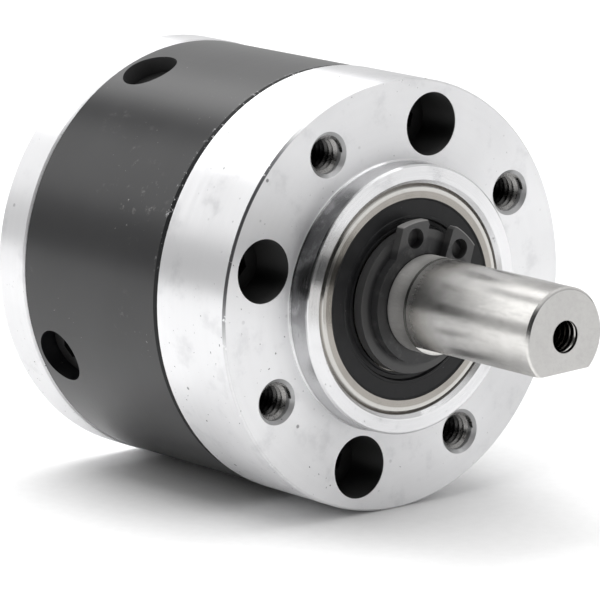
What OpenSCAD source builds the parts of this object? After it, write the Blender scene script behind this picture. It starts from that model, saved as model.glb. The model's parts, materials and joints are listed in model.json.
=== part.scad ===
// Two-stage planetary gearbox with a round mounting flange.
// The gearbox axis is +X, towards the output shaft, and +Z is up.
// The origin is on the axis, in the plane of the flange's front face.

/* [Housing] */
// Radius of the front flange and of the motor flange
flange_r = 22.5; // [22:0.1:24]
// Thickness of the front flange, behind its front face
flange_t = 11; // [10.8:0.05:11.1]
// Radius of the pilot boss
boss_r = 14; // [13.5:0.1:14.2]
// Height of the pilot boss in front of the flange's face
boss_h = 2.7; // [2.6:0.05:3]
// Radius of the ring gear's outside
ring_r = 22.4; // [22:0.1:22.5]
// Length of the ring gear
ring_len = 22.7; // [22.5:0.1:24]
// Length of the motor flange behind the ring gear
motor_flange_t = 4.5; // [4:0.1:8]
// Radius of the motor flange's pilot bore
motor_pilot_r = 8.5; // [8.2:0.1:8.8]
// Depth of the motor flange's pilot bore
motor_pilot_depth = 2.5; // [2:0.1:4]

/* [Holes and screws] */
// Bolt circle of the front flange, for tapped holes and screws alike
front_pcd = 36; // [35.5:0.1:36.5]
// Radius of the tapped mounting holes
tapped_r = 2; // [1.5:0.1:2.2]
// Depth of the tapped mounting holes
tapped_depth = 9; // [6:0.5:10]
// Radius of the counterbores over the flange screws
counterbore_r = 3.3; // [3:0.05:3.4]
// Clocking of the flange screws about the axis, from +Z towards -Y
front_clocking = -15.3; // [-45:0.1:45]
// Clocking of the radial screws about the axis, from +Z towards -Y
side_clocking = 22.5; // [0:0.5:45]
// Distance of the radial screws in front of the ring gear's rear end
side_inset = 3.8; // [3.5:0.1:4]
// Bolt circle of the motor flange
motor_pcd = 25; // [24.5:0.1:25.5]
// Radius of the motor flange's screw holes
motor_hole_r = 1.7; // [1.3:0.1:1.8]

/* [Output shaft] */
// Radius of the output shaft
shaft_r = 5; // [4.5:0.1:5]
// Distance of the shaft's end from the flange's front face
shaft_end = 25.8; // [24:0.1:40]
// Distance of the flat from the shaft's axis
flat_dist = 3.6; // [3.6:0.05:4.5]
// Length of the flat
flat_len = 18.7; // [8:0.1:20]
// Direction that the flat faces, from +Z towards -Y
flat_angle = 182; // [0:1:360]
// Radius of the tapped hole in the shaft's end
end_hole_r = 1.65; // [1.2:0.05:2.1]
// Direction of the gap between the retaining ring's lugs, from +Z towards -Y
lug_angle = -17; // [-180:1:180]

/* [Bearings] */
// Bore radius of both ball bearings
bearing_bore_r = 6; // [6:0.1:6]
// Outer radius of both ball bearings
bearing_r = 12; // [12:0.1:12]
// Width of both ball bearings
bearing_w = 6; // [6:0.1:6]
// Number of balls in a bearing
balls = 11; // [8:1:12]

/* [Gears] */
// Gear module
gear_module = 0.75; // [0.75:0.01:0.75]
// Pressure angle
pressure_angle = 25; // [25:1:25]
// Teeth on each sun gear
sun_teeth = 15; // [15:1:15]
// Teeth on each planet gear
planet_teeth = 12; // [12:1:12]
// Face width of each planet gear
planet_w = 4.5; // [4:0.1:4.5]
// How much thinner each tooth flank is than a tight mesh needs
flank_play = 0.04; // [0.04:0.01:0.08]

/* [Hidden] */
$fn = 96;

// Play between parts that are fitted together without moving
fit_gap = 0.01;
slack = 0.02;
// How far cutting solids run past the face that they cut
past = 1;
planets = 3;
screws = 4;

// Places along the axis, from the front of the gearbox to its back
bearing_recess = 0.3;
front_bearing_x = boss_h - bearing_recess - bearing_w / 2;
lip_t = 1;
lip_front = front_bearing_x - bearing_w / 2;
lip_back = lip_front - lip_t;
rear_bearing_x = front_bearing_x - bearing_w - lip_t;
bearing_back = rear_bearing_x - bearing_w / 2;
ring_front = -flange_t;
ring_back = ring_front - ring_len;
gearbox_back = ring_back - motor_flange_t;
register_t = 1.2;
hub_t = 0.6;
output_carrier_front = bearing_back - hub_t;
output_carrier_t = 2;
output_carrier_back = output_carrier_front - output_carrier_t;
side_gap = 0.3;
output_planet_front = output_carrier_back - side_gap;
output_planet_back = output_planet_front - planet_w;
retainer_t = 0.4;
output_retainer_back = output_planet_back - side_gap - retainer_t;
first_carrier_front = output_retainer_back - side_gap;
first_carrier_t = 1.6;
first_carrier_back = first_carrier_front - first_carrier_t;
first_planet_front = first_carrier_back - side_gap;
first_planet_back = first_planet_front - planet_w;
first_retainer_back = first_planet_back - side_gap - retainer_t;
thrust_plate_t = 0.5;
spigot_len = 7.1;
spigot_seat = ring_back + spigot_len;
spigot_front = spigot_seat - thrust_plate_t - slack;

// Gear sizes that follow from the module and the tooth counts
ring_teeth = sun_teeth + 2 * planet_teeth;
centre_distance = gear_module * (sun_teeth + planet_teeth) / 2;
addendum = 1;
dedendum = 1.25;
ring_tip = 0.85;
flank_steps = 5;

// Radii inside the housing
teeth_inside_r = 13;
register_r = 15.9;
lip_r = 11;
spigot_r = 17.5;
carrier_r = 13.4;
pin_r = 1.5;
bush_r = 2.2;
running_gap = 0.03;
pinion_bore_r = 2.5;
pinion_collar_r = 6.3;
pinion_collar_len = 3;
collar_front = spigot_front - 3;
input_room_r = 8;
sun_hub_r = 4.6;
thrust_plate_bore_r = 7.5;
retainer_bore_r = 7;

// Boss details
foot = 0.2;
bore_edge = 0.4;
fine_edge = 0.2;
ring_edge = 0.6;
mouth = 0.4;

// M3 socket screws
screw_r = 1.5;
head_r = 2.75;
head_h = 3;
hex_r = 1.44;
hex_depth = 1.6;
screw_len = 10;
screw_seat = -7.5;
low_head_r = 2.7;
low_head_h = 2;
hole_play = 0.1;
motor_head_r = 3;
motor_seat_t = 2.2;
side_seat_r = 18.6;
side_hole_r = 3;
side_screw_tip_r = 13.5;

// Retaining ring and its groove
clip_t = 1;
stop_washer_t = 1.1;
stop_washer_r = 7.5;
clip_back = front_bearing_x + bearing_w / 2 + stop_washer_t + slack;
groove_r = shaft_r - 0.2;
journal_end = front_bearing_x + bearing_w / 2 - 0.1;
mark_x = shaft_end - flat_len + 0.2;
mark_depth = 0.1;
shaft_edge = 0.3;
end_hole_depth = 10;
clip_ring_r = groove_r + 1.4;
clip_offset = 0.1;
lug_hole_r = 1.05;
lug_pitch_r = groove_r + 2.1;
lug_spread = 26.5;
lug_tip_r = groove_r + 3.75;
lug_corner = 0.6;
gap_root = 1.4;
gap_tip = 1.7;
gap_slope = 0.3;
lug_side = 5;
lug_root = 3.4;

// Bearing details
corner = 0.4;
ball_pitch_r = 9;
ball_r = 1.19;
race_r = 1.25;
outer_land_r = 10.1;
inner_land_r = 7.9;
seal_r = 10.5;
seal_lip_r = 7.6;
seal_t = 0.5;
seal_seat = 0.65;
seal_recess = 0.05;
inner_rim_r = 7.5;
spacer_r = 7.3;
pocket_play = 0.08;
cage_t = 0.6;
cage_w = 3.2;

function involute(angle) = tan(angle) - angle * PI / 180;

// Half of the angle that a tooth fills at radius r
function half_tooth(teeth, r, play) =
    let (pitch_r = gear_module * teeth / 2, base_r = pitch_r * cos(pressure_angle))
    90 / teeth + (involute(pressure_angle) - involute(acos(min(1, base_r / max(r, base_r))))) * 180 / PI
        - play / pitch_r * 180 / PI;

// Outline of a gear with tooth centres at whole pitches from angle 0
function gear_outline(teeth, add, ded, play) =
    let (
        pitch_r = gear_module * teeth / 2,
        tip = pitch_r + add * gear_module,
        root = pitch_r - ded * gear_module,
        flank = max(root, pitch_r * cos(pressure_angle)),
        steps = [for (i = [0:flank_steps]) flank + (tip - flank) * i / flank_steps],
        radii = concat(flank > root ? [root] : [], steps),
        count = len(radii)
    )
    [for (k = [0:teeth - 1], s = [-1, 1], i = [0:count - 1])
        let (r = radii[s < 0 ? i : count - 1 - i], a = 360 * k / teeth + s * half_tooth(teeth, r, play))
        [r * cos(a), r * sin(a)]];

// Turns shapes built along +Z so that they lie along the gearbox's +X axis
module along_axis() rotate([0, 90, 0]) children();

// Puts a child at radius r and at an angle from +Z towards -Y, its own +X pointing outwards
module around(angle, r = 0) rotate([0, 0, angle + 180]) translate([r, 0, 0]) children();

// A solid of revolution about the gearbox's axis, from [radius, place along the axis] points
module turned(points) along_axis() rotate_extrude() polygon(points);

// A flat ring about the gearbox's axis
module washer(inner, outer, back, front)
    turned([[inner, back], [outer, back], [outer, front], [inner, front]]);

// A round hole or pin parallel to the axis, used inside along_axis()
module drill(r, back, front) translate([0, 0, back]) cylinder(r = r, h = front - back);

// The four places of each kind of screw or hole, used inside along_axis()
module at_flange_screws() for (k = [0:screws - 1])
    around(front_clocking + 360 / screws * k, front_pcd / 2) children();

module at_tapped_holes() for (k = [0:screws - 1])
    around(front_clocking + 360 / screws * (k + 0.5), front_pcd / 2) children();

module at_motor_screws() for (k = [0:screws - 1])
    around(side_clocking + 360 / screws * (k + 0.5), motor_pcd / 2) children();

// At each radial screw, +Z points straight out from the gearbox's axis
module at_radial_screws() for (k = [0:screws - 1])
    around(side_clocking + 360 / screws * k)
        translate([0, 0, ring_back + side_inset])
            rotate([0, 90, 0]) children();

module gear(teeth, back, front, play = flank_play)
    translate([0, 0, back]) linear_extrude(front - back)
        polygon(gear_outline(teeth, addendum, dedendum, play));

function planet_place(i) = 360 / planets * (i - 1);

// Rotation that puts a planet in mesh with a sun whose tooth points along angle 0
function planet_turn(place) = place + 180 - 180 / planet_teeth + place * sun_teeth / planet_teeth;

module front_flange() color("lightgray") difference() {
    turned([
        [bearing_r, boss_h - bore_edge], [bearing_r + bore_edge, boss_h],
        [boss_r - fine_edge, boss_h], [boss_r, boss_h - fine_edge], [boss_r, foot], [boss_r + foot, 0],
        [flange_r - fine_edge, 0], [flange_r, -fine_edge],
        [flange_r, ring_front + fine_edge], [flange_r - fine_edge, ring_front],
        [register_r, ring_front], [register_r, ring_front - register_t],
        [boss_r, ring_front - register_t], [boss_r, ring_front],
        [bearing_r, ring_front], [bearing_r, lip_back],
        [lip_r, lip_back], [lip_r, lip_front], [bearing_r, lip_front]
    ]);
    along_axis() {
        at_flange_screws() {
            drill(counterbore_r, screw_seat, boss_h + past);
            drill(screw_r + hole_play, ring_front - past, screw_seat + past);
        }
        at_tapped_holes() {
            drill(tapped_r, -tapped_depth, past);
            translate([0, 0, -mouth]) cylinder(r1 = tapped_r, r2 = tapped_r + 2 * mouth, h = 2 * mouth);
        }
    }
}

module ring_gear() color("dimgray") difference() {
    turned([
        [teeth_inside_r, ring_front], [ring_r - ring_edge, ring_front], [ring_r, ring_front - ring_edge],
        [ring_r, ring_back + fine_edge], [ring_r - fine_edge, ring_back], [teeth_inside_r, ring_back]
    ]);
    along_axis() {
        drill(register_r + slack, ring_front - register_t - slack, ring_front + past);
        drill(spigot_r, ring_back - past, spigot_seat);
        rotate([0, 0, 180 * (planet_teeth - 1) / ring_teeth + 180])
            translate([0, 0, ring_back - past])
                linear_extrude(ring_len + 2 * past)
                    polygon(gear_outline(ring_teeth, dedendum, ring_tip, -flank_play));
        at_flange_screws() drill(screw_r + slack, screw_seat - screw_len - past, ring_front + past);
        at_radial_screws() {
            drill(side_hole_r, side_seat_r, flange_r + past);
            drill(screw_r + hole_play, spigot_r - past, side_seat_r + past);
        }
    }
}

module motor_flange() color("lightgray") difference() {
    turned([
        [motor_pilot_r + fine_edge, gearbox_back], [motor_pilot_r, gearbox_back + fine_edge],
        [motor_pilot_r, gearbox_back + motor_pilot_depth], [input_room_r, gearbox_back + motor_pilot_depth],
        [input_room_r, spigot_front], [spigot_r - slack, spigot_front], [spigot_r - slack, ring_back - slack],
        [flange_r - fine_edge, ring_back - slack], [flange_r, ring_back - fine_edge - slack],
        [flange_r, gearbox_back + fine_edge], [flange_r - fine_edge, gearbox_back]
    ]);
    along_axis() {
        at_motor_screws() {
            drill(motor_hole_r, gearbox_back - past, spigot_front + past);
            drill(motor_head_r, gearbox_back + motor_seat_t, spigot_front + past);
        }
        at_radial_screws() drill(screw_r + slack, side_screw_tip_r - 0.5, spigot_r + past);
    }
}

// A socket screw along +Z, its head's seat at 0 and its shank below
module socket_screw(head, height, shank) difference() {
    union() {
        cylinder(r = head, h = height);
        translate([0, 0, -shank]) cylinder(r = screw_r, h = shank + 0.1);
    }
    translate([0, 0, height - hex_depth]) cylinder(r = hex_r, h = hex_depth + past, $fn = 6);
}

module flange_screws() color("black") along_axis() at_flange_screws()
    translate([0, 0, screw_seat + fit_gap]) socket_screw(head_r, head_h, screw_len);

module radial_screws() color("black") along_axis() at_radial_screws()
    translate([0, 0, side_seat_r + fit_gap])
        socket_screw(low_head_r, low_head_h, side_seat_r - side_screw_tip_r);

module input_thrust_plate() color("silver")
    washer(thrust_plate_bore_r, spigot_r - slack, spigot_seat - thrust_plate_t, spigot_seat - fit_gap);

// Ball bearing parts, all around the bearing's middle at x
module raceway(x) along_axis() translate([0, 0, x])
    rotate_extrude() translate([ball_pitch_r, 0]) circle(r = race_r);

module bearing_outer_ring(x) color("silver") difference() {
    front = x + bearing_w / 2;
    back = x - bearing_w / 2;
    outside = bearing_r - fit_gap;
    turned([
        [outside - corner, front], [outside, front - corner], [outside, back + corner], [outside - corner, back],
        [seal_r, back], [seal_r, back + seal_seat], [outer_land_r, back + seal_seat],
        [outer_land_r, front - seal_seat], [seal_r, front - seal_seat], [seal_r, front]
    ]);
    raceway(x);
}

module bearing_inner_ring(x) color("silver") difference() {
    front = x + bearing_w / 2;
    back = x - bearing_w / 2;
    turned([
        [bearing_bore_r, back], [inner_rim_r, back],
        [inner_rim_r, back + seal_seat], [inner_land_r, back + seal_seat],
        [inner_land_r, front - seal_seat], [inner_rim_r, front - seal_seat],
        [inner_rim_r, front], [bearing_bore_r, front]
    ]);
    raceway(x);
}

module bearing_balls(x) color("silver") along_axis() for (k = [0:balls - 1])
    around(360 / balls * k, ball_pitch_r) translate([0, 0, x]) sphere(r = ball_r);

module bearing_cage(x) color("goldenrod") difference() {
    washer(ball_pitch_r - cage_t / 2, ball_pitch_r + cage_t / 2, x - cage_w / 2, x + cage_w / 2);
    along_axis() for (k = [0:balls - 1])
        around(360 / balls * k, ball_pitch_r - past) translate([0, 0, x]) rotate([0, 90, 0])
            cylinder(r = ball_r + pocket_play, h = 2 * past);
}

module bearing_seal(x, side) color("black")
    let (outside = x + side * (bearing_w / 2 - seal_recess), inside = outside - side * seal_t)
    washer(seal_lip_r, seal_r - fit_gap, min(outside, inside), max(outside, inside));

module bearing_spacer() color("silver")
    washer(bearing_bore_r + fit_gap, spacer_r, lip_back + fit_gap, lip_front - fit_gap);

// Between the front bearing's inner ring and the retaining ring
module stop_washer() color("dimgray")
    washer(shaft_r + fit_gap, stop_washer_r, clip_back - slack - stop_washer_t + fit_gap, clip_back - slack);

// One lug of the retaining ring, on the +Y side of a gap that opens along +X
module lug() intersection() {
    circle(r = lug_tip_r);
    polygon([
        [groove_r - 0.5, gap_root], [lug_tip_r - lug_corner, gap_tip], [lug_tip_r, gap_tip + lug_corner],
        [lug_tip_r, lug_side], [lug_root, lug_side]
    ]);
}

module retaining_ring() color("dimgray") along_axis() around(lug_angle) translate([0, 0, clip_back])
    linear_extrude(clip_t) difference() {
        union() {
            difference() {
                translate([-clip_offset, 0]) circle(r = clip_ring_r);
                polygon(2 * clip_ring_r * [[0, 0], [1, -gap_slope], [1, gap_slope]]);
            }
            for (side = [0, 1]) mirror([0, side]) lug();
        }
        circle(r = groove_r + slack);
        for (s = [-1, 1]) rotate(s * lug_spread) translate([lug_pitch_r, 0]) circle(r = lug_hole_r);
    }

module output_shaft() color("silver") difference() {
    turned([
        [0, shaft_end], [shaft_r - shaft_edge, shaft_end], [shaft_r, shaft_end - shaft_edge],
        [shaft_r, mark_x + mark_depth], [shaft_r - mark_depth, mark_x], [shaft_r, mark_x - mark_depth],
        [shaft_r, clip_back + clip_t + slack], [groove_r, clip_back + clip_t + slack],
        [groove_r, clip_back - slack], [shaft_r, clip_back - slack], [shaft_r, journal_end],
        [bearing_bore_r - shaft_edge, journal_end], [bearing_bore_r - fit_gap, journal_end - shaft_edge],
        [bearing_bore_r - fit_gap, bearing_back - fit_gap], [spacer_r, bearing_back - fit_gap],
        [spacer_r, output_carrier_front],
        [carrier_r, output_carrier_front], [carrier_r, output_carrier_back], [0, output_carrier_back]
    ]);
    along_axis() {
        around(flat_angle) translate([flat_dist, -shaft_r - past, shaft_end - flat_len])
            cube([shaft_r, 2 * (shaft_r + past), flat_len + past]);
        drill(end_hole_r, shaft_end - end_hole_depth, shaft_end + past);
        translate([0, 0, shaft_end - end_hole_depth - end_hole_r / 2])
            cylinder(r1 = 0, r2 = end_hole_r, h = end_hole_r / 2);
        for (i = [1:planets]) around(planet_place(i), centre_distance)
            drill(pin_r, output_carrier_back - past, output_carrier_front + past);
    }
}

// Children on the axis of planet i
module at_planet(i) along_axis() around(planet_place(i), centre_distance) children();

module planet_pin(i, back, front) color("silver") at_planet(i) drill(pin_r - fit_gap, back, front);

module planet(i, front) color("darkgray") at_planet(i) difference() {
    rotate([0, 0, planet_turn(planet_place(i)) - planet_place(i)])
        gear(planet_teeth, front - planet_w, front);
    drill(bush_r, front - planet_w - past, front + past);
}

module planet_bush(i, front) color("peru") at_planet(i) difference() {
    drill(bush_r - fit_gap, front - planet_w, front);
    drill(pin_r + running_gap, front - planet_w - past, front + past);
}

module pin_retainer(back) color("silver") difference() {
    washer(retainer_bore_r, carrier_r, back, back + retainer_t);
    along_axis() for (i = [1:planets]) around(planet_place(i), centre_distance)
        drill(pin_r, back - past, back + retainer_t + past);
}

module output_sun_gear() color("darkgray") along_axis() rotate([0, 0, 180]) {
    gear(sun_teeth, first_carrier_front, output_planet_front);
    drill(sun_hub_r, first_carrier_back, first_carrier_front + 0.1);
}

module first_carrier() color("silver") difference() {
    washer(sun_hub_r + fit_gap, carrier_r, first_carrier_back, first_carrier_front - fit_gap);
    along_axis() for (i = [1:planets]) around(planet_place(i), centre_distance)
        drill(pin_r, first_carrier_back - past, first_carrier_front + past);
}

module input_sun_gear() color("darkgray") difference() {
    union() {
        along_axis() rotate([0, 0, 180]) gear(sun_teeth, collar_front, first_planet_front);
        washer(0, pinion_collar_r, collar_front - pinion_collar_len, collar_front + 0.1);
    }
    along_axis() drill(pinion_bore_r, ring_back - past, first_planet_front + past);
}

module bearing_part(bearing, part) {
    x = bearing == "front" ? front_bearing_x : rear_bearing_x;
    if (part == "outer_ring") bearing_outer_ring(x);
    if (part == "inner_ring") bearing_inner_ring(x);
    if (part == "balls") bearing_balls(x);
    if (part == "cage") bearing_cage(x);
    if (part == "front_seal") bearing_seal(x, 1);
    if (part == "back_seal") bearing_seal(x, -1);
}

front_flange();
ring_gear();
motor_flange();
flange_screws();
radial_screws();
input_thrust_plate();
for (b = ["front", "rear"], p = ["outer_ring", "inner_ring", "balls", "cage", "front_seal", "back_seal"])
    bearing_part(b, p);
bearing_spacer();
stop_washer();
retaining_ring();
output_shaft();
pin_retainer(output_retainer_back);  // output_pin_retainer
output_sun_gear();
first_carrier();
pin_retainer(first_retainer_back);  // first_pin_retainer
input_sun_gear();
for (i = [1:planets]) {
    planet_pin(i, output_retainer_back, output_carrier_front);
    planet(i, output_planet_front);
    planet_bush(i, output_planet_front);
    planet_pin(i, first_retainer_back, first_carrier_front - fit_gap);
    planet(i, first_planet_front);
    planet_bush(i, first_planet_front);
}
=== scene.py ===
import json
import math

import bmesh
import bpy
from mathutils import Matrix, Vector


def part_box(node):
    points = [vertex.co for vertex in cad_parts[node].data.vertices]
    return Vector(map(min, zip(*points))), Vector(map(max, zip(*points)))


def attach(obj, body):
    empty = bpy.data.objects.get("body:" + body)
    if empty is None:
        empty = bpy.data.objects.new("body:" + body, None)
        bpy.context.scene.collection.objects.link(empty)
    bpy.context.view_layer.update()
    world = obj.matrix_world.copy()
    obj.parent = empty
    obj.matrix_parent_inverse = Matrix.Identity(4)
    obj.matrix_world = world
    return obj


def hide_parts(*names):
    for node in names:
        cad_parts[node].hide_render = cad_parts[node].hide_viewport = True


MM = 0.001
AXIS_R = 0.01 * MM  # nearer the axis than this, a direction round it has no meaning
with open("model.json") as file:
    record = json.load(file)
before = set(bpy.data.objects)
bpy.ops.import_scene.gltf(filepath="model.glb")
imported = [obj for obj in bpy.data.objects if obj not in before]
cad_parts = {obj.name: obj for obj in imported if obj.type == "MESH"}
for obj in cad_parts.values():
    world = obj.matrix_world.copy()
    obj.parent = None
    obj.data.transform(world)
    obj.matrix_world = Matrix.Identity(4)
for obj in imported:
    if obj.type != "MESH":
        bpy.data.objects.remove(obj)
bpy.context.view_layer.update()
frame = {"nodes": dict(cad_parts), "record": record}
mounts = {m["name"]: m for m in frame["record"]["mounts"]}

# Places that follow from the frame
FLANGE_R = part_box("front_flange")[1].y
RING_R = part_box("ring_gear")[1].y
RING_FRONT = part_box("ring_gear")[1].x
GEARBOX_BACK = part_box("motor_flange")[0].x
BEARING_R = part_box("front_bearing_outer_ring")[1].y
SHAFT_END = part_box("output_shaft")[1].x
SHAFT_R = mounts["output_shaft"]["dims"]["r_mm"] * MM
GROOVE_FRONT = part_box("retaining_ring")[1].x
END_HOLE_DEPTH = mounts["shaft_end_thread"]["dims"]["length_mm"] * MM
BOSS_R = mounts["pilot_boss"]["dims"]["r_mm"] * MM
BOLT_CIRCLE_R = mounts["output_flange_holes"]["dims"]["pcd_mm"] / 2 * MM
TAPPED_R = mounts["output_flange_holes"]["dims"]["hole_r_mm"] * MM
END_HOLE_R = mounts["shaft_end_thread"]["dims"]["r_mm"] * MM

# Clocking about the axis, in degrees from +Z towards -Y, and sizes that the record doesn't state
SCREW_CLOCKING = -15.3
TAPPED_CLOCKING = SCREW_CLOCKING + 45
HOLES = 4
WELL_R = 3.3 * MM  # the flange screws' counterbores
MOUTH = 0.4 * MM  # chamfer of the tapped holes
THREAD_PITCH = 0.7 * MM
THREAD_HEIGHT = 0.36 * MM
THREAD_LENGTH = 8.4 * MM
SEAL_BORE_R = 7.6 * MM
BEARING_HIGHLIGHT_WIDTH = 0.85 * MM  # width of the outer ring's band of painted highlight, corner included
MARK_FROM_END = 18.5 * MM  # the V mark between the shaft's round and its flat
LUG_R = 6.4 * MM  # where the retaining ring's lugs begin
LUG_TIP_R = 8.4 * MM
CHAMFER = 0.3 * MM  # of the front flange's rim
NUMBERS = (1, 2, 3)  # of the planets, pins and bushes in each stage

# Where marks, painted shade and painted light lie: each fades in from the first coordinate and is full at
# the second
KNOCKED_Y, KNOCKED_Z = (2 * MM, -8 * MM), (6 * MM, -3 * MM)
WALL_SHADE_Y, WALL_SHADE_Z = (-5 * MM, -9 * MM), (-5 * MM, 2 * MM)
SHADED_Y, SHADED_Z = (-11 * MM, -16 * MM), (-4 * MM, 3 * MM)
DUSTY_Z = (2 * MM, 10 * MM)
# painted light on the black ring's top
TOP_LIGHT_Z = (RING_R - 6 * MM, RING_R - MM)
BLUNT_X = (9 * MM, 5 * MM)  # the shaft's duller root
THREAD_SHADE_X = (-0.8 * MM, -3.2 * MM)
HOLE_SHADE_X = (-MOUTH, -2.5 * MM)

# Colours, as linear red, green and blue
ALUMINIUM_LOW = (0.81, 0.81, 0.82)
ALUMINIUM_HIGH = (0.87, 0.87, 0.88)
ALUMINIUM_RING = (0.6, 0.6, 0.61)
ALUMINIUM_SMUDGE = (0.5, 0.5, 0.52)
# dull tone of the front flange's boss, and painted shade on the motor flange's back face
ALUMINIUM_DULL_AND_SHADE = (0.4, 0.4, 0.41)
# painted shade in the tapped holes' mouths
ALUMINIUM_MOUTH_SHADE = (0.2, 0.2, 0.2)
# painted shade on the left of the front flange's boss wall
BOSS_WALL_SHADE = (0.13, 0.13, 0.135)
CHAMFER_SHADE = (0.08, 0.08, 0.085)
PIT = (0.05, 0.05, 0.055)
# painted shade in the counterbores and deep in the holes
DEEP_HOLE_SHADE = (0.005, 0.005, 0.005)
OXIDE_LOW = (0.006, 0.006, 0.007)
OXIDE_HIGH = (0.011, 0.011, 0.012)
# painted shade round the ring gear's front
OXIDE_RIM_SHADE = (0.004, 0.004, 0.005)
DUST = (0.32, 0.31, 0.3)
# dust on the rubber, and painted light on the black ring's top
GREY_DUST_AND_LIGHT = (0.3, 0.3, 0.3)
BARE_STEEL = (0.5, 0.5, 0.51)
BEARING_STEEL = (0.33, 0.312, 0.288)
# painted highlight on the bearing outer ring's band
BEARING_HIGHLIGHT_STEEL = (0.52, 0.51, 0.49)
GEAR_STEEL = (0.5, 0.49, 0.47)
STEEL_STAIN = (0.13, 0.12, 0.11)
SHAFT_STEEL = (0.68, 0.67, 0.65)
SHAFT_CLOUD = (0.61, 0.6, 0.585)
SHAFT_SMEAR = (0.42, 0.41, 0.4)
# painted shade on the shaft's end face
SHAFT_END_SHADE = (0.36, 0.355, 0.35)
SHAFT_NICK = (0.16, 0.15, 0.14)
# painted shade in the shaft's V mark
SHAFT_MARK_SHADE = (0.08, 0.08, 0.075)
# painted shade on the shaft behind the retaining ring
SHAFT_GROOVE_SHADE = (0.05, 0.05, 0.05)
# painted shade inside the shaft's end hole
SHAFT_HOLE_SHADE = (0.05, 0.045, 0.04)
SCREW_BLACK = (0.006, 0.006, 0.006)
SCREW_EDGE = (0.03, 0.03, 0.03)
PHOSPHATE = (0.024, 0.024, 0.025)
# rubbed patches, and painted highlight on the retaining ring's lugs
PHOSPHATE_RUB_AND_HIGHLIGHT = (0.3, 0.295, 0.29)
RUBBER_LOW = (0.009, 0.009, 0.01)
RUBBER_HIGH = (0.017, 0.017, 0.018)
BRONZE = (0.55, 0.36, 0.18)
BRASS = (0.72, 0.54, 0.26)
BRONZE_PORE = (0.05, 0.03, 0.02)
THREAD_LOW = (0.24, 0.235, 0.23)
THREAD_HIGH = (0.36, 0.355, 0.345)
# painted shade on the threads deep in the holes
THREAD_DEEP_SHADE = (0.01, 0.01, 0.01)
PAPER_LOW = (0.9, 0.9, 0.9)
PAPER_HIGH = (0.92, 0.92, 0.92)

# How much of bright turned aluminium mirrors its surroundings; the rest scatters
SHEEN = 0.62

# ---------------------------------------------------------------- camera

CAMERA_AZIMUTH = math.radians(50.63)
CAMERA_ELEVATION = math.radians(11.81)
CAMERA_DISTANCE = 493.6 * MM
CAMERA_LENS = 288.8
SENSOR_WIDTH = 36
CLIP_START, CLIP_END = 0.01, 50
AIM_RIGHT = 9.76 * MM
AIM_UP = 0.44 * MM


def make_camera():
    """A long lens, with the flange's centre a little to the right of the picture's middle."""
    level = math.cos(CAMERA_ELEVATION)
    back = Vector((math.sin(CAMERA_AZIMUTH) * level, -math.cos(CAMERA_AZIMUTH) * level,
                   math.sin(CAMERA_ELEVATION)))
    right = Vector((math.cos(CAMERA_AZIMUTH), math.sin(CAMERA_AZIMUTH), 0))
    up = back.cross(right)
    data = bpy.data.cameras.new("camera")
    data.sensor_width = SENSOR_WIDTH
    data.lens = CAMERA_LENS
    data.clip_start = CLIP_START
    data.clip_end = CLIP_END
    camera = bpy.data.objects.new("camera", data)
    camera.location = back * CAMERA_DISTANCE - right * AIM_RIGHT - up * AIM_UP
    camera.rotation_euler = back.to_track_quat("Z", "Y").to_euler()
    bpy.context.scene.collection.objects.link(camera)
    bpy.context.scene.camera = camera


# ---------------------------------------------------------------- material graphs


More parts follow.
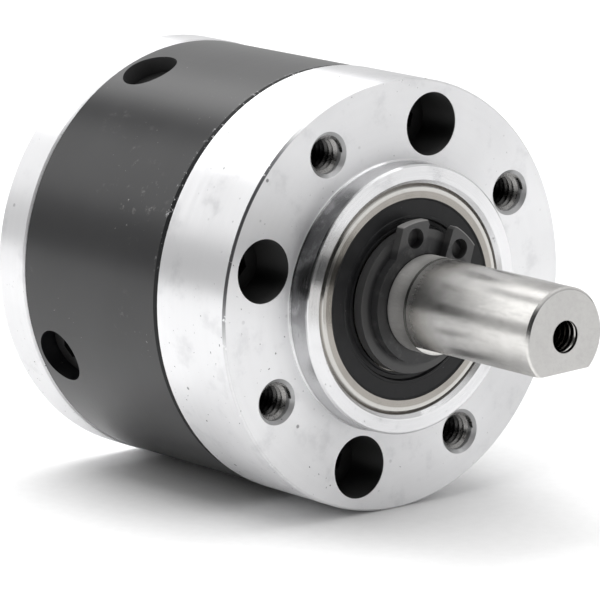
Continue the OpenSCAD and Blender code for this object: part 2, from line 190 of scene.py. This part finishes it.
class Graph:
    """A material's node tree, with short calls for the nodes that the materials share."""

    def __init__(self, name, metallic, roughness, **sockets):
        self.material = bpy.data.materials.new(name)
        self.material.use_nodes = True
        self.tree = self.material.node_tree
        self.shader = self.tree.nodes["Principled BSDF"]
        self.shader.inputs["Metallic"].default_value = metallic
        self.shader.inputs["Roughness"].default_value = roughness
        for socket, value in sockets.items():
            self.shader.inputs[socket.replace("_", " ")].default_value = value
        self.place = self.new("ShaderNodeTexCoord").outputs["Object"]
        split = self.new("ShaderNodeSeparateXYZ")
        self.link(self.place, split.inputs[0])
        self.x, self.y, self.z = split.outputs
        self.r = self.math("SQRT", self.math("ADD", self.math("MULTIPLY", self.y, self.y),
                                             self.math("MULTIPLY", self.z, self.z)))

    def new(self, kind):
        return self.tree.nodes.new(kind)

    def link(self, source, target):
        """Links an output to an input, or sets the input when the source is a plain value."""
        if isinstance(source, bpy.types.NodeSocket):
            self.tree.links.new(source, target)
        else:
            target.default_value = source

    def math(self, operation, *values):
        node = self.new("ShaderNodeMath")
        node.operation = operation
        for value, socket in zip(values, node.inputs):
            self.link(value, socket)
        return node.outputs[0]

    def vector(self, x, y, z):
        node = self.new("ShaderNodeCombineXYZ")
        for value, socket in zip((x, y, z), node.inputs):
            self.link(value, socket)
        return node.outputs[0]

    def noise(self, scale, detail=2.0, roughness=0.5, at=None, distortion=0.0):
        node = self.new("ShaderNodeTexNoise")
        self.link(at or self.place, node.inputs["Vector"])
        node.inputs["Scale"].default_value = scale
        node.inputs["Detail"].default_value = detail
        node.inputs["Roughness"].default_value = roughness
        node.inputs["Distortion"].default_value = distortion
        return node.outputs["Fac"]

    def spots(self, scale, size):
        """1 in small round spots, one in each cell, and 0 elsewhere."""
        node = self.new("ShaderNodeTexVoronoi")
        self.link(self.place, node.inputs["Vector"])
        node.inputs["Scale"].default_value = scale
        return self.ease(node.outputs["Distance"], size, size * 0.5)

    def ease(self, value, low, high, out_low=0.0, out_high=1.0):
        """Maps low..high to out_low..out_high, smoothly and without going past either end."""
        node = self.new("ShaderNodeMapRange")
        node.interpolation_type = "SMOOTHSTEP"
        self.link(value, node.inputs["Value"])
        for name, number in zip(("From Min", "From Max", "To Min", "To Max"),
                                (low, high, out_low, out_high)):
            node.inputs[name].default_value = number
        return node.outputs["Result"]

    def mix(self, factor, first, second):
        node = self.new("ShaderNodeMix")
        node.data_type = "RGBA"
        self.link(factor, node.inputs["Factor"])
        for colour, socket in ((first, node.inputs["A"]), (second, node.inputs["B"])):
            self.link(colour if isinstance(colour, bpy.types.NodeSocket) else (*colour, 1), socket)
        return node.outputs["Result"]

    def tint(self, base, colour, mask, amount):
        """Lays a colour over the base where the mask is 1, as strongly as the amount says."""
        return self.mix(self.math("MULTIPLY", mask, amount), base, colour)

    def raised(self, value, mask, amount):
        """Adds the amount to a value where the mask is 1."""
        return self.math("ADD", value, self.math("MULTIPLY", mask, amount))

    def either(self, *masks):
        total = masks[0]
        for mask in masks[1:]:
            total = self.math("MAXIMUM", total, mask)
        return total

    def both(self, *masks):
        total = masks[0]
        for mask in masks[1:]:
            total = self.math("MULTIPLY", total, mask)
        return total

    def around_axis(self, turning):
        """A place whose noise is drawn out into rings about the X axis, as a lathe leaves them."""
        ring = self.math("ADD", self.x, self.r)
        safe = self.math("MAXIMUM", self.r, AXIS_R)
        return self.vector(ring, self.math("MULTIPLY", self.math("DIVIDE", self.y, safe), turning),
                           self.math("MULTIPLY", self.math("DIVIDE", self.z, safe), turning))

    def hole_distance(self, clocking):
        """Distance from the axis of the nearest of the equally spaced holes on the bolt circle."""
        sector = 2 * math.pi / HOLES
        angle = self.math("ARCTAN2", self.math("MULTIPLY", self.y, -1.0), self.z)
        shifted = self.math("ADD", angle, 2 * math.pi + sector / 2 - math.radians(clocking))
        folded = self.math("SUBTRACT", self.math("MODULO", shifted, sector), sector / 2)
        reach = self.math("MULTIPLY", self.r, self.math("COSINE", folded))
        out = self.math("SUBTRACT", reach, BOLT_CIRCLE_R)
        side = self.math("MULTIPLY", self.r, self.math("SINE", folded))
        return self.math("SQRT", self.math("ADD", self.math("MULTIPLY", out, out),
                                           self.math("MULTIPLY", side, side)))

    def bump(self, height, strength, distance, normal=None):
        """A normal for this height, laid over another normal where one is given."""
        node = self.new("ShaderNodeBump")
        node.inputs["Strength"].default_value = strength
        node.inputs["Distance"].default_value = distance
        self.link(height, node.inputs["Height"])
        if normal:
            self.link(normal, node.inputs["Normal"])
        return node.outputs["Normal"]

    def turned(self, amount):
        """Stretches reflections across the rings that turning or grinding about X leaves.

        A radial tangent runs round the axis, so a quarter turn points the stretch across the rings.
        """
        tangent = self.new("ShaderNodeTangent")
        tangent.direction_type = "RADIAL"
        tangent.axis = "X"
        self.link(tangent.outputs[0], self.shader.inputs["Tangent"])
        self.shader.inputs["Anisotropic"].default_value = amount
        self.shader.inputs["Anisotropic Rotation"].default_value = 0.25

    def finish(self, colour, roughness=None, normal=None, metallic=None):
        self.link(colour, self.shader.inputs["Base Color"])
        if roughness:
            self.link(roughness, self.shader.inputs["Roughness"])
        if normal:
            self.link(normal, self.shader.inputs["Normal"])
        if metallic:
            self.link(metallic, self.shader.inputs["Metallic"])
        return self.material


# ---------------------------------------------------------------- materials

# Noise scales are per metre: at 1000 the features are about a millimetre wide. The two numbers after a
# noise are the levels between which its mark fades in, so a higher pair leaves fewer marks.


def turned_aluminium(name, front=False):
    """Bright lathe-turned aluminium, with fine rings, pits, dents and soft handling marks."""
    g = Graph(name, metallic=SHEEN, roughness=0.34)
    g.turned(1.0)
    rings = g.noise(9000, detail=3, at=g.around_axis(0.00004))
    broad = g.noise(1600, detail=2, at=g.around_axis(0.0006))
    cloud = g.noise(90, detail=3)
    smudge = g.ease(g.noise(260, detail=4, roughness=0.65), 0.52, 0.7)
    knocked = g.both(g.ease(g.y, *KNOCKED_Y), g.ease(g.z, *KNOCKED_Z))
    where = g.raised(g.noise(160, detail=2), knocked, 0.16)
    pits = g.both(g.ease(g.noise(2000, detail=2, roughness=0.6), 0.7, 0.74), g.ease(where, 0.48, 0.6))
    dents = g.both(g.spots(330, 0.085), g.ease(g.noise(110), 0.42, 0.6))
    dark = g.either(g.math("MULTIPLY", pits, 0.8), g.math("MULTIPLY", dents, 0.7))
    base = g.mix(g.ease(cloud, 0.35, 0.7), ALUMINIUM_LOW, ALUMINIUM_HIGH)
    base = g.tint(base, ALUMINIUM_RING, broad, 0.15)
    base = g.tint(base, ALUMINIUM_SMUDGE, smudge, 0.22)
    base = g.mix(dark, base, PIT)
    # Painted shade: the motor flange's back face is darkened
    back = g.ease(g.x, GEARBOX_BACK + 0.3 * MM, GEARBOX_BACK + 0.1 * MM)
    base = g.tint(base, ALUMINIUM_DULL_AND_SHADE, back, 0.6)
    rough = g.raised(g.ease(rings, 0.3, 0.7, 0.31, 0.37), smudge, 0.06)
    metal = g.ease(back, 0.0, 1.0, SHEEN, 0.9)
    if front:
        base, rough, metal = front_flange_marks(g, base, rough)
    height = g.math("SUBTRACT", rings, g.math("MULTIPLY", dark, 3.0))
    return g.finish(base, rough, g.bump(height, 0.1, 0.012 * MM), metal)


def front_flange_marks(g, base, rough):
    """The front flange's duller boss, with painted shade on the left of the boss's wall, in the holes and on
    the chamfer on the left.
    """
    boss = g.ease(g.x, 0.02 * MM, 0.1 * MM)
    base = g.tint(base, ALUMINIUM_DULL_AND_SHADE, boss, 0.3)
    wall = g.both(boss, g.ease(g.r, BOSS_R - 0.15 * MM, BOSS_R - 0.08 * MM))
    # Painted shade: the boss's wall darkens on its left side, in blotches
    wall_shade = g.both(g.ease(g.y, *WALL_SHADE_Y), g.ease(g.z, *WALL_SHADE_Z),
                  g.ease(g.noise(420, detail=4, roughness=0.65), 0.35, 0.55, 0.55, 0.9))
    base = g.mix(g.both(wall, wall_shade), base, BOSS_WALL_SHADE)

    # Painted shade: the counterbores are painted near black, the tapped holes' mouths darker, and the holes
    # near black further in
    from_screw = g.hole_distance(SCREW_CLOCKING)
    well = g.both(g.ease(from_screw, WELL_R + 0.06 * MM, WELL_R + 0.03 * MM),
                  g.ease(g.x, -0.02 * MM, -0.12 * MM))
    from_thread = g.hole_distance(TAPPED_CLOCKING)
    mouth = g.both(g.ease(from_thread, TAPPED_R + MOUTH + 0.05 * MM, TAPPED_R + MOUTH),
                   g.ease(g.x, 0.0, -0.04 * MM))
    deep_shade = g.both(mouth, g.ease(g.x, *HOLE_SHADE_X))
    shaded_hollow = g.either(well, deep_shade)
    base = g.tint(base, ALUMINIUM_MOUTH_SHADE, mouth, 0.5)
    base = g.mix(shaded_hollow, base, DEEP_HOLE_SHADE)

    chamfer = g.both(g.ease(g.r, FLANGE_R - CHAMFER, FLANGE_R - 0.2 * MM),
                     g.ease(g.x, -CHAMFER, -0.2 * MM))
    broken = g.ease(g.noise(700, detail=3, roughness=0.7), 0.6, 0.66)
    shade = g.both(chamfer, g.ease(g.z, *SHADED_Z, 0.15, 0.9), g.ease(g.y, *SHADED_Y))
    base = g.mix(g.both(shade, g.math("SUBTRACT", 1.0, broken)), base, CHAMFER_SHADE)

    rough = g.raised(g.raised(rough, boss, -0.13), well, 0.35)
    side = g.ease(g.r, FLANGE_R - CHAMFER, FLANGE_R - 0.15 * MM, 0.0, 0.5)
    metal = g.both(g.ease(g.either(boss, side), 0.0, 1.0, SHEEN, 1.0), g.math("SUBTRACT", 1.0, shaded_hollow))
    return base, rough, metal


def black_oxide():
    """Satin black steel: faint turned grain, dust, scuffs, and bright nicks along its front edge, with
    painted shade round its front and painted light on its top.
    """
    g = Graph("black_oxide_steel", metallic=0.0, roughness=0.3, Specular_IOR_Level=0.52)
    g.turned(0.5)
    rings = g.noise(7000, detail=3, at=g.around_axis(0.0001))
    cloud = g.noise(120, detail=3)
    high = g.ease(g.z, *DUSTY_Z)
    specks = g.ease(g.noise(2100, detail=3, roughness=0.65), 0.7, 0.76)
    dust = g.both(specks, g.ease(g.raised(g.noise(90), high, 0.1), 0.5, 0.62))
    scuff = g.both(g.ease(g.noise(620, detail=5, roughness=0.7), 0.56, 0.72),
                   g.ease(g.noise(75), 0.56, 0.68))
    # Painted shade: a black band round the ring's front, where it meets the flange
    rim = g.ease(g.x, RING_FRONT - 0.65 * MM, RING_FRONT - 0.55 * MM)
    edge = g.both(g.ease(g.x, RING_FRONT - 1.1 * MM, RING_FRONT - 0.6 * MM),
                  g.ease(g.r, RING_R - 0.45 * MM, RING_R - 0.2 * MM))
    nicks = g.both(edge, high, g.ease(g.noise(1700, detail=4, roughness=0.75), 0.58, 0.64))
    base = g.mix(g.ease(cloud, 0.3, 0.7), OXIDE_LOW, OXIDE_HIGH)
    pale = g.either(dust, g.math("MULTIPLY", scuff, 0.5))
    base = g.tint(base, DUST, pale, 0.9)
    # Painted light: the ring's top is lightened towards grey
    top_light = g.ease(g.z, *TOP_LIGHT_Z)
    base = g.tint(base, GREY_DUST_AND_LIGHT, top_light, 0.2)
    base = g.mix(rim, base, OXIDE_RIM_SHADE)
    base = g.mix(nicks, base, BARE_STEEL)
    rough = g.raised(g.ease(rings, 0.3, 0.7, 0.285, 0.305), g.either(dust, scuff), 0.2)
    rough = g.raised(rough, rim, 0.3)
    height = g.raised(g.math("MULTIPLY", rings, 0.3), g.either(dust, nicks), 1.5)
    return g.finish(base, rough, g.bump(height, 0.08, 0.01 * MM))


def darker(colour, share):
    """This share of a colour's brightness."""
    return tuple(share * c for c in colour)


def ground_steel(name, colour, rough_low, rough_high, marks, highlight_r=None):
    """Steel ground about X, with fine rings and handling marks, and a painted highlight band just outside
    the given radius.
    """
    g = Graph(name, metallic=1.0, roughness=0.25)
    g.turned(0.7)
    at = g.around_axis(0.00008)
    fine = g.noise(6500, detail=3, at=at)
    wide = g.noise(700, detail=2, at=at)
    cloud = g.noise(240, detail=4, roughness=0.6)
    stain = g.ease(g.noise(520, detail=5, roughness=0.7, distortion=0.6), 0.56, 0.72)
    worn = g.math("MULTIPLY", stain, 0.5 * marks)
    base = g.mix(g.ease(wide, 0.25, 0.75), darker(colour, 0.92), colour)
    base = g.tint(base, darker(colour, 0.62), g.ease(cloud, 0.45, 0.7), 0.3)
    if highlight_r is not None:
        # Painted highlight: a brighter band by the outer ring's edge
        rim = g.both(g.ease(g.r, highlight_r, highlight_r + 0.15 * MM), g.ease(g.r, highlight_r + 0.6 * MM, highlight_r + 0.5 * MM))
        base = g.mix(rim, base, BEARING_HIGHLIGHT_STEEL)
    base = g.mix(worn, base, STEEL_STAIN)
    rough = g.raised(g.ease(fine, 0.3, 0.7, rough_low, rough_high), worn, 0.2)
    return g.finish(base, rough, g.bump(fine, 0.12, 0.01 * MM))


def worn_shaft():
    """The output shaft: smooth steel smeared lengthwise, nicked, with a tapped hole in its end."""
    g = Graph("shaft_steel", metallic=1.0, roughness=0.2)
    along = g.vector(g.math("MULTIPLY", g.x, 0.25), g.y, g.z)
    smear = g.noise(2400, detail=4, roughness=0.65, at=along)
    rings = g.noise(5200, detail=3, at=g.around_axis(0.0002))
    cloud = g.noise(330, detail=4, roughness=0.65)
    nicks = g.ease(g.noise(1500, detail=4, roughness=0.7, distortion=0.4), 0.68, 0.75)
    root = g.ease(g.x, *BLUNT_X)
    base = g.mix(g.ease(cloud, 0.4, 0.7), SHAFT_STEEL, SHAFT_CLOUD)
    base = g.tint(base, SHAFT_SMEAR, g.ease(smear, 0.42, 0.7), 0.25)
    # Painted shade: the shaft's end face is darkened
    face = g.ease(g.x, SHAFT_END - 0.2 * MM, SHAFT_END - 0.05 * MM)
    base = g.tint(base, SHAFT_END_SHADE, face, 0.7)
    base = g.tint(base, SHAFT_NICK, nicks, g.ease(root, 0.0, 1.0, 0.25, 0.6))
    inside = g.both(g.ease(g.r, END_HOLE_R + 0.06 * MM, END_HOLE_R + 0.03 * MM),
                    g.ease(g.x, SHAFT_END - END_HOLE_DEPTH - MM, SHAFT_END - END_HOLE_DEPTH))
    # Painted shade: the shaft darkens behind the retaining ring's front
    groove_shade = g.ease(g.x, GROOVE_FRONT + 0.2 * MM, GROOVE_FRONT + 0.1 * MM)
    base = g.mix(groove_shade, base, SHAFT_GROOVE_SHADE)
    # Painted shade: a dark line along the V mark
    from_mark = g.math("ABSOLUTE", g.math("SUBTRACT", g.x, SHAFT_END - MARK_FROM_END))
    mark = g.both(g.ease(from_mark, 0.22 * MM, 0.15 * MM),
                  g.ease(g.r, SHAFT_R - 0.2 * MM, SHAFT_R - 0.12 * MM))
    base = g.mix(mark, base, SHAFT_MARK_SHADE)
    # Painted shade: the end hole darkens from its mouth inwards
    deep_shade = g.both(inside, g.ease(g.x, SHAFT_END - 0.05 * MM, SHAFT_END - 1.5 * MM))
    base = g.mix(deep_shade, base, SHAFT_HOLE_SHADE)
    rough = g.raised(g.ease(smear, 0.3, 0.7, 0.22, 0.27), root, 0.25)
    turn = g.math("DIVIDE", g.math("ARCTAN2", g.y, g.z), 2 * math.pi)
    pitch = g.math("ADD", g.math("DIVIDE", g.x, THREAD_PITCH), turn)
    groove = g.both(inside, g.math("SINE", g.math("MULTIPLY", pitch, 2 * math.pi)))
    height = g.math("SUBTRACT", g.raised(rings, smear, 0.6), nicks)
    normal = g.bump(height, 0.08, 0.01 * MM)
    return g.finish(base, rough, g.bump(groove, 0.8, 0.12 * MM, normal))


def lug_highlights(g):
    """1 at the tips of the retaining ring's lugs, and a little on the rest of the lugs, where a highlight is
    painted.
    """
    tips = g.ease(g.r, LUG_TIP_R, LUG_TIP_R + 0.12 * MM)
    return g.either(tips, g.ease(g.r, LUG_R, LUG_R + 0.5 * MM, 0.0, 0.16))


def phosphated_steel(name, colour, rubbed_and_lit_colour, highlight_at=None):
    """Dark phosphate coat with a fine crystal grain, rubbed lighter in patches, and lighter on given edges
    as a painted highlight.
    """
    g = Graph(name, metallic=0.2, roughness=0.45, Specular_IOR_Level=0.5)
    grain = g.noise(9000, detail=3)
    rubbed = g.ease(g.noise(700, detail=4, roughness=0.65), 0.5, 0.72)
    amount = g.math("MULTIPLY", rubbed, 0.12)
    if highlight_at:
        # Painted highlight on the given edges
        amount = g.either(amount, g.math("MULTIPLY", highlight_at(g), 0.85))
    base = g.mix(amount, colour, rubbed_and_lit_colour)
    rough = g.ease(grain, 0.3, 0.7, 0.36, 0.52)
    return g.finish(base, rough, g.bump(grain, 0.3, 0.008 * MM))


def rubber():
    """Moulded black nitrile, with a soft bloom and a fine matt grain."""
    g = Graph("seal_rubber", metallic=0.0, roughness=0.55, Specular_IOR_Level=0.25)
    grain = g.noise(12000, detail=2)
    bloom = g.ease(g.noise(500, detail=4, roughness=0.6), 0.4, 0.75)
    dust = g.both(g.spots(1300, 0.08), g.ease(g.noise(300), 0.5, 0.62))
    base = g.mix(bloom, RUBBER_LOW, RUBBER_HIGH)
    base = g.tint(base, GREY_DUST_AND_LIGHT, dust, 0.35)
    rough = g.ease(bloom, 0.0, 1.0, 0.42, 0.56)
    return g.finish(base, rough, g.bump(grain, 0.2, 0.01 * MM))


def bronze(name, colour):
    """Sintered or pressed copper alloy, mottled, with pores."""
    g = Graph(name, metallic=1.0, roughness=0.35)
    mottle = g.noise(1500, detail=4)
    pores = g.spots(3500, 0.16)
    base = g.mix(g.ease(mottle, 0.35, 0.7), colour, darker(colour, 0.6))
    base = g.tint(base, BRONZE_PORE, pores, 0.6)
    return g.finish(base, g.ease(mottle, 0.3, 0.7, 0.28, 0.45), g.bump(pores, 0.3, -0.01 * MM))


def thread_metal():
    """Cut thread in aluminium: bright near the mouth, and darkened further in by painted shade."""
    g = Graph("thread_aluminium", metallic=1.0, roughness=0.3)
    grain = g.noise(5000, detail=2)
    deep_shade = g.ease(g.x, *THREAD_SHADE_X)
    base = g.mix(g.ease(grain, 0.3, 0.7), THREAD_LOW, THREAD_HIGH)
    # Painted shade further into the hole
    base = g.mix(deep_shade, base, THREAD_DEEP_SHADE)
    return g.finish(base, g.ease(grain, 0.3, 0.7, 0.22, 0.36), g.bump(grain, 0.2, 0.01 * MM))


def floor_paper():
    """Matt white paper, evenly lit, with a barely visible tooth."""
    g = Graph("floor_paper", metallic=0.0, roughness=0.6, Specular_IOR_Level=0.3)
    fibre = g.noise(900, detail=3)
    base = g.mix(g.ease(fibre, 0.3, 0.7), PAPER_LOW, PAPER_HIGH)
    return g.finish(base, normal=g.bump(fibre, 0.1, 0.02 * MM))


def dress(material, *nodes):
    """Gives a material to CAD nodes."""
    for node in nodes:
        data = frame["nodes"][node].data
        data.materials.clear()
        data.materials.append(material)


# ---------------------------------------------------------------- meshes


def add_mesh(name, points, faces, material):
    """A smooth-shaded piece with its faces turned outwards."""
    data = bpy.data.meshes.new(name)
    data.from_pydata([tuple(p) for p in points], [], faces)
    data.materials.append(material)
    mesh = bmesh.new()
    mesh.from_mesh(data)
    bmesh.ops.recalc_face_normals(mesh, faces=mesh.faces)
    mesh.to_mesh(data)
    mesh.free()
    data.polygons.foreach_set("use_smooth", [True] * len(data.polygons))
    piece = bpy.data.objects.new(name, data)
    bpy.context.scene.collection.objects.link(piece)
    return piece


def about_axis(x, r, clocking):
    """The point at distance r from the X axis, clocked in degrees from +Z towards -Y."""
    angle = math.radians(clocking)
    return Vector((x, -r * math.sin(angle), r * math.cos(angle)))


# Points round a turn, and the angle in degrees above which an edge stays crisp
THREAD_STEPS, THREAD_CREASE = 40, 40
SEAL_STEPS, SEAL_CREASE = 144, 24


def thread(name, middle, material):
    """The ridge of a tapped hole's thread, which fades in and out over a quarter turn at its ends."""
    sunk = 0.03 * MM  # how deep its foot lies in the hole's wall
    run_out = THREAD_STEPS / 4
    turns = THREAD_LENGTH / THREAD_PITCH - 1
    count = int(turns * THREAD_STEPS)
    half_foot = 0.44 * THREAD_PITCH
    half_crest = 0.06 * THREAD_PITCH
    points = []
    for i in range(count + 1):
        angle = 2 * math.pi * i / THREAD_STEPS
        x = -MOUTH / 2 - THREAD_PITCH / 2 - THREAD_PITCH * i / THREAD_STEPS
        crest = TAPPED_R - THREAD_HEIGHT * min(1.0, i / run_out, (count - i) / run_out)
        section = ((TAPPED_R + sunk, half_foot), (crest, half_crest),
                   (crest, -half_crest), (TAPPED_R + sunk, -half_foot))
        for r, offset in section:
            points.append(middle + Vector((x + offset, r * math.cos(angle), r * math.sin(angle))))
    faces = [(4 * i + k, 4 * i + (k + 1) % 4, 4 * i + 4 + (k + 1) % 4, 4 * i + 4 + k)
             for i in range(count) for k in range(4)]
    faces += [(3, 2, 1, 0), tuple(4 * count + k for k in range(4))]
    piece = add_mesh(name, points, faces, material)
    sharpen(piece, THREAD_CREASE)
    return piece


def sharpen(piece, degrees):
    """Keeps edges sharper than this angle crisp under smooth shading."""
    mesh = bmesh.new()
    mesh.from_mesh(piece.data)
    for edge in mesh.edges:
        edge.smooth = len(edge.link_faces) == 2 and edge.calc_face_angle(0) < math.radians(degrees)
    mesh.to_mesh(piece.data)
    mesh.free()


def lathe(name, profile, material, steps):
    """A closed solid of revolution about X from [x, r] points."""
    count = len(profile)
    points = [about_axis(x, r, 360 * k / steps) for k in range(steps) for x, r in profile]
    faces = [(k * count + i, k * count + (i + 1) % count,
              (k + 1) % steps * count + (i + 1) % count, (k + 1) % steps * count + i)
             for k in range(steps) for i in range(count)]
    return add_mesh(name, points, faces, material)


def moulded_seal(name, node, side, material):
    """The bearing's rubber seal: a raised rim, a flat web, a groove and a lip at the inner ring."""
    low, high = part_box(node)
    face = high.x if side > 0 else low.x
    inner_r = SEAL_BORE_R
    outer_r = high.y
    depth = high.x - low.x
    web, groove, lip = 0.07 * MM, 0.3 * MM, 0.1 * MM
    section = (  # distance below the face, radius
        (0.0, outer_r), (0.0, outer_r - 0.12 * MM), (web, outer_r - 0.2 * MM),
        (web, inner_r + 1.15 * MM), (0.0, inner_r + 1.05 * MM), (0.0, inner_r + 0.86 * MM),
        (groove, inner_r + 0.7 * MM), (groove, inner_r + 0.32 * MM),
        (lip, inner_r + 0.2 * MM), (lip, inner_r), (depth, inner_r), (depth, outer_r))
    piece = lathe(name, [(face - side * drop, r) for drop, r in section], material, SEAL_STEPS)
    sharpen(piece, SEAL_CREASE)
    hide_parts(node)
    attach(piece, "housing")


# ---------------------------------------------------------------- studio

FLOOR_HALF = 3.0
ROOM_LEVEL = 0.85
HORIZON_LEVEL = 0.36
SOFTBOX_LEVEL = 1.5
STRIPE_LEVEL = 0.02
SKIRT_LEVEL = 0.56
BACK_LEVEL = 0.5
DARK_LEVEL = 0.03

# Edges in the sky: a unit direction's coordinate, and half the width that the blend takes. What is
# painted lies above the edge, or below it where the width is negative.
HORIZON_EDGE = (0.12, -0.08)
LEFT_EDGE = (-0.35, -0.15)
LOW_EDGE = (0.1, 0.08)
BACK_EDGE = (0.3, 0.12)
STRIPE_EDGES = (-0.17, 0.05), (0.04, -0.04)
STRIPE_FOOT = (0.4, 0.1)
SKIRT_SIDE = (-0.43, -0.05)
SKIRT_TOP = (0.3, -0.05)
DARK_EDGE = (0.76, 0.05)
DARK_TOP = (0.7, -0.06)

OVERHEAD_PLACE = (-0.16, 0.0, 0.75)
OVERHEAD_SIZE = (1.0, 0.8)
OVERHEAD_WATTS = 6.8


class Sky:
    """The world's node tree, which paints brightness by direction."""

    def __init__(self):
        self.world = bpy.data.worlds.new("studio")
        self.world.use_nodes = True
        self.tree = self.world.node_tree
        split = self.tree.nodes.new("ShaderNodeSeparateXYZ")
        coords = self.tree.nodes.new("ShaderNodeTexCoord")
        self.tree.links.new(coords.outputs["Generated"], split.inputs[0])
        self.x, self.y, self.z = split.outputs
        self.level = ROOM_LEVEL

    def math(self, operation, *values):
        node = self.tree.nodes.new("ShaderNodeMath")
        node.operation = operation
        for value, socket in zip(values, node.inputs):
            if isinstance(value, bpy.types.NodeSocket):
                self.tree.links.new(value, socket)
            else:
                socket.default_value = value
        return node.outputs[0]

    def step(self, value, edge, soft):
        """0 below the edge and 1 above it, or the other way round when soft is negative."""
        node = self.tree.nodes.new("ShaderNodeMapRange")
        node.interpolation_type = "SMOOTHSTEP"
        node.inputs["From Min"].default_value = edge - soft
        node.inputs["From Max"].default_value = edge + soft
        self.tree.links.new(value, node.inputs["Value"])
        return node.outputs["Result"]

    def paint(self, level, *masks):
        """Brings the brightness to this level where all the masks are 1."""
        mask = masks[0]
        for other in masks[1:]:
            mask = self.math("MULTIPLY", mask, other)
        kept = self.math("MULTIPLY", self.level, self.math("SUBTRACT", 1.0, mask))
        self.level = self.math("ADD", kept, self.math("MULTIPLY", mask, level))

    def finish(self):
        self.tree.links.new(self.level, self.tree.nodes["Background"].inputs["Color"])
        bpy.context.scene.world = self.world


def make_world():
    """A white room, grey below the horizon, with a softbox on its left and a dark end in front.

    The softbox is dimmer at its back and at the foot of its front, and a dark stripe runs down it.
    """
    sky = Sky()
    sky.paint(HORIZON_LEVEL, sky.step(sky.z, *HORIZON_EDGE))
    left = sky.step(sky.x, *LEFT_EDGE)
    above = sky.step(sky.z, *LOW_EDGE)
    sky.paint(SOFTBOX_LEVEL, left, above)
    sky.paint(BACK_LEVEL, left, sky.step(sky.y, *BACK_EDGE), above)
    sky.paint(STRIPE_LEVEL, left, *(sky.step(sky.y, *edge) for edge in STRIPE_EDGES),
              sky.step(sky.z, *STRIPE_FOOT))
    sky.paint(SKIRT_LEVEL, left, sky.step(sky.y, *SKIRT_SIDE), sky.step(sky.z, *SKIRT_TOP))
    level = math.cos(CAMERA_ELEVATION)
    front = sky.math("ADD", sky.math("MULTIPLY", sky.x, math.sin(CAMERA_AZIMUTH) * level),
                     sky.math("MULTIPLY", sky.y, -math.cos(CAMERA_AZIMUTH) * level))
    front = sky.math("ADD", front, sky.math("MULTIPLY", sky.z, math.sin(CAMERA_ELEVATION)))
    sky.paint(DARK_LEVEL, sky.step(front, *DARK_EDGE), sky.step(sky.z, *DARK_TOP))
    sky.finish()


def make_overhead():
    """A large soft lamp above, aimed at the flange's centre."""
    data = bpy.data.lights.new("overhead", "AREA")
    data.shape = "RECTANGLE"
    data.size, data.size_y = OVERHEAD_SIZE
    data.energy = OVERHEAD_WATTS
    light = bpy.data.objects.new("overhead", data)
    light.location = OVERHEAD_PLACE
    light.rotation_euler = Vector(OVERHEAD_PLACE).to_track_quat("Z", "Y").to_euler()
    bpy.context.scene.collection.objects.link(light)


def make_studio():
    """World, lamp and the white floor that the gearbox lies on."""
    make_world()
    make_overhead()
    ground = -FLANGE_R
    corners = [(sx * FLOOR_HALF, sy * FLOOR_HALF, ground) for sx, sy in ((-1, -1), (1, -1), (1, 1), (-1, 1))]
    floor = add_mesh("floor", corners, [(0, 1, 2, 3)], floor_paper())
    bpy.context.scene.view_settings.view_transform = "Standard"


# ---------------------------------------------------------------- the gearbox


def in_both_stages(part):
    return [f"{stage}_{part}_{i}" for stage in ("output", "first") for i in NUMBERS]


def in_both_bearings(part):
    return [f"{place}_bearing_{part}" for place in ("front", "rear")]


def dress_nodes():
    """Gives the CAD nodes that stay visible their metals."""
    dress(turned_aluminium("flange_aluminium", front=True), "front_flange")
    dress(turned_aluminium("motor_flange_aluminium"), "motor_flange")
    dress(black_oxide(), "ring_gear")
    dress(phosphated_steel("screw_steel", SCREW_BLACK, SCREW_EDGE), "flange_screws", "radial_screws")
    dress(phosphated_steel("ring_phosphate", PHOSPHATE, PHOSPHATE_RUB_AND_HIGHLIGHT, lug_highlights),
          "retaining_ring", "stop_washer")
    dress(worn_shaft(), "output_shaft")
    dress(ground_steel("outer_ring_steel", BEARING_STEEL, 0.16, 0.24, 0.2, BEARING_R - BEARING_HIGHLIGHT_WIDTH),
          *in_both_bearings("outer_ring"))
    dress(ground_steel("bearing_steel", BEARING_STEEL, 0.16, 0.24, marks=0.2),
          "bearing_spacer", *in_both_bearings("inner_ring"), *in_both_bearings("balls"),
          *in_both_stages("pin"))
    dress(ground_steel("gear_steel", GEAR_STEEL, 0.24, 0.36, marks=0.4),
          "input_thrust_plate", "output_pin_retainer", "first_pin_retainer", "first_carrier",
          "output_sun_gear", "input_sun_gear", *in_both_stages("planet"))
    dress(bronze("bush_bronze", BRONZE), *in_both_stages("bush"))
    dress(bronze("cage_brass", BRASS), *in_both_bearings("cage"))


def make_threads():
    """Threads for the flange's tapped holes, which CAD leaves plain."""
    metal = thread_metal()
    for k in range(HOLES):
        middle = about_axis(0, BOLT_CIRCLE_R, TAPPED_CLOCKING + 360 / HOLES * k)
        piece = thread(f"tapped_thread_{k + 1}", middle, metal)
        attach(piece, "housing")


make_camera()
make_studio()
dress_nodes()
make_threads()
seal_material = rubber()
for bearing in ("front", "rear"):
    moulded_seal(f"{bearing}_seal_outer", f"{bearing}_bearing_front_seal", 1, seal_material)
    moulded_seal(f"{bearing}_seal_inner", f"{bearing}_bearing_back_seal", -1, seal_material)
